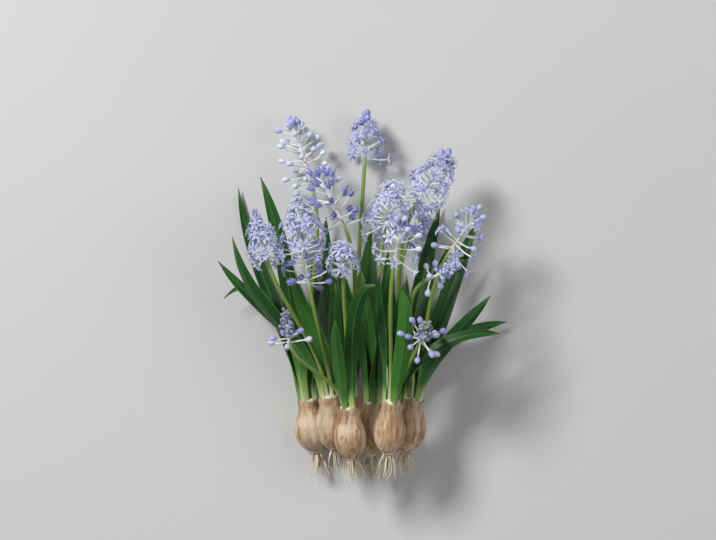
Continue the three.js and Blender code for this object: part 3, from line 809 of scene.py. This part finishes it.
def pedicels_of(stretch, key, extra):
    """Where the pedicels of a tier stand: foot, direction, length and what they carry. The extra ones stand
    among the others, in a spiral of their own."""
    start, end = at(stretch["start"]), at(stretch["end"])
    axis = (end - start).normalized()
    first, second = sideways(axis)
    count = stretch["more"] if extra else stretch["count"]
    carries = stretch["fill"] if extra else stretch["carries"]
    lead = EXTRA_TURN if extra else 0
    play = EXTRA_TILT_PLAY if extra else TILT_PLAY
    found = []
    for order in range(count):
        step = order + EXTRA_KEY if extra else order
        kind = carries[order % len(carries)]
        share = (order + 0.5) / count
        turn = math.radians(order * GOLDEN_ANGLE + TURN_PLAY * wander(key, step) + lead)
        tilt = math.radians(blend(*stretch["spread"], share) + play * wander(step, key))
        length = blend(*stretch["reach"], share) * (1 + REACH_PLAY * wander(key + 3, step))
        if extra:
            kept = EXTRA_SMALL_REACH if kind == "s" else EXTRA_REACH
            length *= kept + EXTRA_REACH_PLAY * wander(step, key + 7)
        out = axis * math.cos(tilt) + (first * math.cos(turn) + second * math.sin(turn)) * math.sin(tilt)
        found.append((start.lerp(end, share), out, length * MM, kind, share, axis))
    return found


def raceme_pedicels(stem, number):
    """All pedicels of a stem, with how far up the raceme each one stands."""
    found = []
    for order, stretch in enumerate(stem["tiers"]):
        for extra in (False, True):
            for foot, out, length, kind, share, axis in pedicels_of(stretch, number * 10 + order, extra):
                found.append((foot, out, length, kind, (order + share) / len(stem["tiers"]), axis))
    return found


def raceme_stalklets(stem, number):
    """The pedicels as fine stalks that bow a little and widen under what they carry."""
    bm = new_shape()
    for order, (foot, out, length, _, _, axis) in enumerate(raceme_pedicels(stem, number)):
        bow = PEDICEL_BOW + PEDICEL_BOW_PLAY * wander(number + 5, order)
        sag = (axis + Vector((0, 0, 0.4))) * length * bow
        stations = []
        for share, radius in PEDICEL_RADII:
            middle = foot + out * length * share + sag * math.sin(math.pi * share)
            stations.append((middle, out, radius * MM, share))
        grow_tube(bm, stations, 5)
    return bm


def bloom_shapes(bm, kinds, rng):
    """The shapes of each kind of flower and bud, which are copied and then deleted."""
    shapes = {}
    for kind in sorted(kinds):
        shapes[kind] = []
        for _ in range(FLOWER_SHAPES if kind in "oh" else 1):
            before = set(bm.verts)
            TEMPLATES[kind](bm, rng)
            verts = [vert for vert in bm.verts if vert not in before]
            edges = list({edge for vert in verts for edge in vert.link_edges})
            faces = list({face for vert in verts for face in vert.link_faces})
            shapes[kind].append(verts + edges + faces)
    return shapes


def raceme_blooms(stem, number):
    """Every flower and bud of a stem, each a copy of a shape of its kind."""
    bm = new_shape()
    rng = random.Random(number)
    pedicels = raceme_pedicels(stem, number)
    shapes = bloom_shapes(bm, {row[3] for row in pedicels}, rng)
    for foot, out, length, kind, height, _ in pedicels:
        small = kind == "s"
        copy = verts_of(bmesh.ops.duplicate(bm, geom=rng.choice(shapes[kind]))["geom"])
        size = rng.uniform(*BLOOM_SIZES) * (SMALL_BUD_SIZE - SMALL_BUD_SHRINK * height if small else 1.0)
        lean = Vector((rng.uniform(-1, 1), rng.uniform(-1, 1), rng.uniform(-1, 1)))
        nod = (out + lean * NOD_PLAY).normalized()
        place = facing(foot + out * (length - BLOOM_SEAT * MM), nod, rng.uniform(0, math.tau), size)
        bmesh.ops.transform(bm, matrix=place, verts=copy)
        violet = blend(*stem["violet"], height) + rng.uniform(-VIOLET_PLAY, VIOLET_PLAY)
        mark(bm, copy, violet=min(max(violet, 0.0), 1.0), young=stem["green"] * height if small else 0.0)
    for group in shapes.values():
        for shape in group:
            bmesh.ops.delete(bm, geom=verts_of(shape), context="VERTS")
    return bm


def scape_of(stem):
    """The smooth stalk up to the raceme and the rachis above it, as one tapering stalk."""
    bulb = BULBS[stem["bulb"]]
    tiers = stem["tiers"]
    base = neck_point(bulb, stem["seat"], SCAPE_SEAT_RADIUS)
    start, end = Vector(tiers[0]["start"]), Vector(tiers[0]["end"])
    axis = (end - start).normalized()
    length = (start - base).length
    curve = [base, base + bulb["axis"] * length * RISE_SHARE, start - axis * length * STRAIGHT_SHARE, start]
    curve = [at(p) for p in curve]
    stations = []
    for step in range(SCAPE_STEPS):
        share = step / SCAPE_STEPS
        radius = SCAPE_RADIUS * blend(SCAPE_FOOT_SHARE, SCAPE_TOP_SHARE, share) * MM
        stations.append((bezier(curve, share), heading(curve, share), radius, RACHIS_FROM * share))
    for order, stretch in enumerate(tiers):
        low, high = at(stretch["start"]), at(stretch["end"])
        upward = (high - low).normalized()
        for step in range(RACHIS_STEPS):
            rise = step / RACHIS_STEPS
            share = (order + rise) / len(tiers)
            radius = blend(RACHIS_RADIUS, RACHIS_TOP_RADIUS, share) * MM
            stations.append((low.lerp(high, rise), upward, radius, blend(RACHIS_FROM, 1, share)))
    stations.append((high, upward, RACHIS_TOP_RADIUS * RACHIS_TIP_SHARE * MM, 1.0))
    bm = new_shape()
    grow_tube(bm, stations, 12)
    mark(bm, bm.verts, tone=stem["pale"])
    return bm


def leaf_width(share):
    """How much of its full width a blade has along its length."""
    swell = blend(LEAF_BASE_SHARE, 1, math.sin(min(share / LEAF_WIDEST_AT, 1) * math.pi / 2))
    return swell * max(0.0, 1 - share ** 5) ** 0.8


def leaf_blade(number, bulb, seat, bend, tip, width, fold, face):
    """A strap blade: a soft keel along its back, wavy margins and a hooded tip."""
    bulb = BULBS[bulb]
    base = neck_point(bulb, seat, LEAF_SEAT_RADIUS)
    rise = base + bulb["axis"] * ((Vector(tip) - base).length * RISE_SHARE)
    curve = [base, rise, Vector(bend), Vector(tip)]
    inward = seat + 180
    turn = (face - inward) % 360
    turn = turn - 360 if turn > 180 else turn
    bm = new_shape()
    grid = bmesh.ops.create_grid(bm, x_segments=LEAF_COLUMNS, y_segments=LEAF_ROWS, size=0.5)["verts"]
    along_of, across_of = bm.verts.layers.float["along"], bm.verts.layers.float["across"]
    for vert in grid:
        vert[along_of] = 1 - (1 - (vert.co.y + 0.5)) ** 1.2
        vert[across_of] = vert.co.x * 2
    top = set(verts_of(bmesh.ops.extrude_face_region(bm, geom=list(bm.faces))["geom"]))
    for vert in bm.verts:
        share, across = vert[along_of], vert[across_of]
        tangent = heading(curve, share)
        angle = math.radians(inward + turn * ease(share / LEAF_TURNED_AT))
        side = tangent.cross(Vector((math.cos(angle), 0, math.sin(angle)))).normalized()
        normal = side.cross(tangent)
        half = max(LEAF_TIP_HALF, width / 2 * leaf_width(share))
        opening = blend(FOOT_FOLD, fold, ease(share / FOLD_SET_AT))
        steep = math.radians(opening + HOOD_FOLD * ease((share - HOOD_FROM) / (1 - HOOD_FROM)))
        slope = math.hypot(across, KEEL_SOFTNESS) - KEEL_SOFTNESS
        slope /= math.hypot(1, KEEL_SOFTNESS) - KEEL_SOFTNESS
        phase = share * MARGIN_WAVE_RATE + number * 2.1 + (1.7 if across > 0 else 0)
        wave = MARGIN_WAVE * half * across ** 2 * math.sin(phase)
        place = bezier(curve, share) + side * across * half * math.cos(steep)
        place += normal * (half * math.sin(steep) * slope + wave)
        edge = 1 - EDGE_THINNING * abs(across) ** 3
        keel = KEEL_HEIGHT * math.exp(-(across / KEEL_WIDTH) ** 2) * (1 - share)
        thick = LEAF_THICKNESS / 2 * edge * (1 - TIP_THINNING * share ** 4)
        place += normal * thick if vert in top else -normal * (thick + keel)
        vert.co = at(place)
    mark(bm, bm.verts, tone=0.4 * wander(number, 3) - 0.04)
    return bm


def bulb_width(along, radius):
    """The bulb's radius at a place along its axis."""
    if along < 0:
        share = -along / BULB_BELOW
        return blend(radius, PLATE_RADIUS, share ** 2.6)
    share = along / BULB_ABOVE
    return blend(radius, NECK_RADIUS * 0.92, ease(share) ** 0.9)


def to_bulb(bulb, local):
    """A point in the bulb's own frame, in metres in the clump's frame."""
    return at(bulb["turn"] @ Vector(local) + bulb["middle"])


def ring_noise(turn, rate, height):
    """Smooth noise round an axis: finer with a higher rate, and changing with height."""
    return noise.noise(Vector((math.cos(turn), math.sin(turn), 0)) * rate + Vector((0, 0, height)))


def bulb_with_tunic(number, bulb):
    """The bulb under its papery skin, with a torn collar and the pale scales inside."""
    bm = new_shape()
    skin_body(bm, number, bulb)
    tunic_collar(bm, bulb, random.Random(TUNIC_SEED + number))
    heart = rounded(bm, (0, 0, 0), HEART_RADIUS, HEART_LENGTH, PALE_SCALE, sides=16, rings=8)
    for vert in heart:
        local = vert.co / MM
        vert.co = to_bulb(bulb, (local.x, BULB_ABOVE - HEART_SUNK + local.z, local.y))
    return bm


def skin_body(bm, number, bulb):
    """The round of the bulb, ribbed along its length, with sunken places where its outer skin is worn off."""
    radius = bulb["radius"] * FLAT_SHARE
    body = bmesh.ops.create_uvsphere(bm, u_segments=88, v_segments=60, radius=1.0)["verts"]
    along_of, tone_of = bm.verts.layers.float["along"], bm.verts.layers.float["tone"]
    for vert in body:
        share = (1 + vert.co.z) / 2
        turn = math.atan2(vert.co.y, vert.co.x)
        away = math.hypot(vert.co.x, vert.co.y)
        along = blend(-BULB_BELOW, BULB_ABOVE + 0.5, share)
        wear = ring_noise(turn, 1.3, along * 0.07 + number * 4)
        wear += 0.3 * ring_noise(turn, 7, along * 0.3 + number * 4)
        near_top = ease((along - BULB_ABOVE + WEAR_ENDS) / 2)
        worn = ease((wear - WEAR_FROM) / WEAR_STEP) * (1 - near_top)
        dent = abs(ring_noise(turn, 1.3, along * 0.12 + number))
        fibre = ring_noise(turn, 11, along * 0.1 + number)
        wide = bulb_width(along, radius - SKIN_DEPTH - WORN_DEPTH * worn) * min(1.0, away * 4.2)
        wide *= 1 - DENT_SHARE * dent - RIB_SHARE * abs(math.sin(turn * 4.5 + number))
        wide += FIBRE_HEIGHT * fibre * min(1.0, away * 2)
        vert[along_of], vert[tone_of] = share, worn
        vert.co = to_bulb(bulb, (wide * math.cos(turn), along, wide * math.sin(turn)))


def paper_sheet(bm, rows, columns, shape):
    """A thin closed sheet whose points are placed by shape(across, along, lift)."""
    sheet = bmesh.ops.create_grid(bm, x_segments=columns, y_segments=rows, size=0.5)["verts"]
    faces = list({face for vert in sheet for face in vert.link_faces})
    across_of, along_of = bm.verts.layers.float["across"], bm.verts.layers.float["along"]
    for vert in sheet:
        vert[across_of], vert[along_of] = vert.co.x + 0.5, vert.co.y + 0.5
    outer = set(verts_of(bmesh.ops.extrude_face_region(bm, geom=faces)["geom"]))
    for vert in set(sheet) | outer:
        vert.co = shape(vert[across_of], vert[along_of], PAPER_THICKNESS if vert in outer else 0.0)


def tunic_collar(bm, bulb, rng):
    """The torn top of the skin, standing round the leaf bases."""
    key = rng.uniform(0, 50)

    def shape(across, along, lift):
        turn = across * math.tau * COLLAR_SHARE
        tear = 0.5 + 0.5 * ring_noise(turn, 2.2, key)
        tear += 0.35 * ring_noise(turn, 9, key)
        tear += 0.2 * ring_noise(turn, 24, key)
        height = BULB_ABOVE - COLLAR_START + along * (COLLAR_HEIGHT + COLLAR_TEAR * max(0.0, tear))
        rising = ease((along - 0.3 - 0.25 * ring_noise(turn, 6, key)) / 0.4)
        wide = bulb_width(min(height, BULB_ABOVE), bulb["radius"] * FLAT_SHARE) + lift
        wide += blend(-0.6, 0.15, rising) + 0.3 * along * math.sin(turn * 5 + key)
        wide += 0.12 * ring_noise(turn, 11, height * 0.1)
        return to_bulb(bulb, (wide * math.cos(turn), height, wide * math.sin(turn)))

    paper_sheet(bm, 10, 72, shape)


def root_tuft(number, bulb):
    """The corky plate under the bulb and the roots that grow from it."""
    bm = new_shape()
    rng = random.Random(ROOT_SEED + number)
    downward = -bulb["axis"]
    plate = []
    for below, radius in PLATE_OUTLINE:
        plate.append((to_bulb(bulb, (0, -BULB_BELOW - below, 0)), downward, radius * MM, 0.0))
    grow_tube(bm, plate, 18)
    for order in range(ROOTS_EACH):
        angle = math.radians(order * GOLDEN_ANGLE) + number
        out = ROOT_SPLAY + ROOT_SPLAY_PLAY * rng.uniform(-1, 1)
        side = Vector((math.cos(angle) * out, 0, math.sin(angle) * out))
        length = ROOT_LENGTH * rng.uniform(ROOT_SHORTEST, 1.0)
        sway = rng.uniform(-ROOT_SWAY, ROOT_SWAY)
        foot = -BULB_BELOW - 1
        curve = [
            Vector((side.x * 3, foot, side.z * 3)),
            Vector((side.x * 8, foot - length * 0.45, side.z * 8)),
            Vector((side.x * 9 + sway, foot - length * 0.7, side.z * 6)),
            Vector((side.x * 8 - sway, foot - length, side.z * 7)),
        ]
        curve = [to_bulb(bulb, p) for p in curve]
        thick = rng.uniform(*ROOT_RADII)
        stations = []
        for step in range(ROOT_STEPS + 1):
            share = step / ROOT_STEPS
            radius = thick * (1 - ROOT_TAPER * share) * MM
            stations.append((bezier(curve, share), heading(curve, share), radius, share))
        grow_tube(bm, stations, 6)
    return bm


# The stage: how far the floor reaches and where the lamps aim, in metres, and the surround.
FLOOR_REACH = 3.0
LIGHT_TARGET = Vector((0, 0.03, 0.04))
SURROUND_COLOUR = (0.93, 0.95, 1.0, 1.0)
SURROUND_STRENGTH = 0.23


def lay_floor():
    bm = bmesh.new()
    bmesh.ops.create_grid(bm, x_segments=1, y_segments=1, size=FLOOR_REACH)
    mesh = bpy.data.meshes.new("floor")
    bm.to_mesh(mesh)
    bm.free()
    mesh.materials.append(pale_floor())
    floor = bpy.data.objects.new("floor", mesh)
    bpy.context.scene.collection.objects.link(floor)


# The photograph's frame: its size in pixels, the size of a pixel at the clump in millimetres,
# and the pixel of the bulbs' widest place, where the tables' Y is about 0.
FRAME_WIDTH = 716
FRAME_HEIGHT = 540
PIXEL = 0.58
BULB_LINE = 430
CAMERA_LENS = 150
SENSOR_WIDTH = 36
MIDDLE_DEPTH = 0.045


def set_camera():
    """Looks straight down on the clump, with the plants' tops at the top of the picture."""
    camera = bpy.data.cameras.new("camera")
    camera.lens = CAMERA_LENS
    camera.sensor_fit = "HORIZONTAL"
    camera.sensor_width = SENSOR_WIDTH
    holder = bpy.data.objects.new("camera", camera)
    middle = at((0, (BULB_LINE - FRAME_HEIGHT / 2) * PIXEL, 0))
    distance = FRAME_WIDTH * PIXEL * MM * CAMERA_LENS / SENSOR_WIDTH
    holder.location = (middle.x, middle.y, MIDDLE_DEPTH + distance)
    bpy.context.scene.collection.objects.link(holder)
    bpy.context.scene.camera = holder


def add_light(name, place, size, power):
    lamp = bpy.data.lights.new(name, "AREA")
    lamp.size = size
    lamp.energy = power
    holder = bpy.data.objects.new(name, lamp)
    holder.location = place
    holder.rotation_euler = (LIGHT_TARGET - Vector(place)).to_track_quat("-Z", "Y").to_euler()
    bpy.context.scene.collection.objects.link(holder)


def set_light():
    """A strong lamp from the upper left, a broad weak one from the right, and a pale surround."""
    add_light("key lamp", place=(-1.1, 1.0, 1.5), size=0.5, power=38)
    add_light("fill lamp", place=(1.2, 0.1, 1.3), size=1.0, power=6)
    world = bpy.data.worlds.new("surround")
    world.use_nodes = True
    backdrop = world.node_tree.nodes["Background"]
    backdrop.inputs["Color"].default_value = SURROUND_COLOUR
    backdrop.inputs["Strength"].default_value = SURROUND_STRENGTH
    bpy.context.scene.world = world
    bpy.context.scene.view_settings.view_transform = "Standard"


def build_clump():
    blooms = [petal_lilac(), filament_white(), anther_violet(), ovary_violet(), bud_skin()]
    scape, pedicel, leaf = scape_green(), pedicel_white(), leaf_green()
    tunic, scale, root = bulb_tunic(), scale_cream(), root_cream()
    for number, stem in enumerate(STEMS):
        node = f"flower_stem_{number + 1}"
        add_piece(f"scape_{number + 1}", scape_of(stem), [scape], node)
        add_piece(f"stalklets_{number + 1}", raceme_stalklets(stem, number), [pedicel], node)
        add_piece(f"blooms_{number + 1}", raceme_blooms(stem, number), blooms, node)
    for number, row in enumerate(LEAVES):
        add_piece(f"blade_{number + 1}", leaf_blade(number, *row), [leaf], f"leaf_{number + 1}")
    for number, bulb in enumerate(BULBS):
        skin = bulb_with_tunic(number, bulb)
        add_piece(f"tunic_{number + 1}", skin, [tunic, scale], f"bulb_{number + 1}")
        add_piece(f"root_tuft_{number + 1}", root_tuft(number, bulb), [root], f"roots_{number + 1}")


place_bulbs()
build_clump()
lay_floor()
set_camera()
set_light()
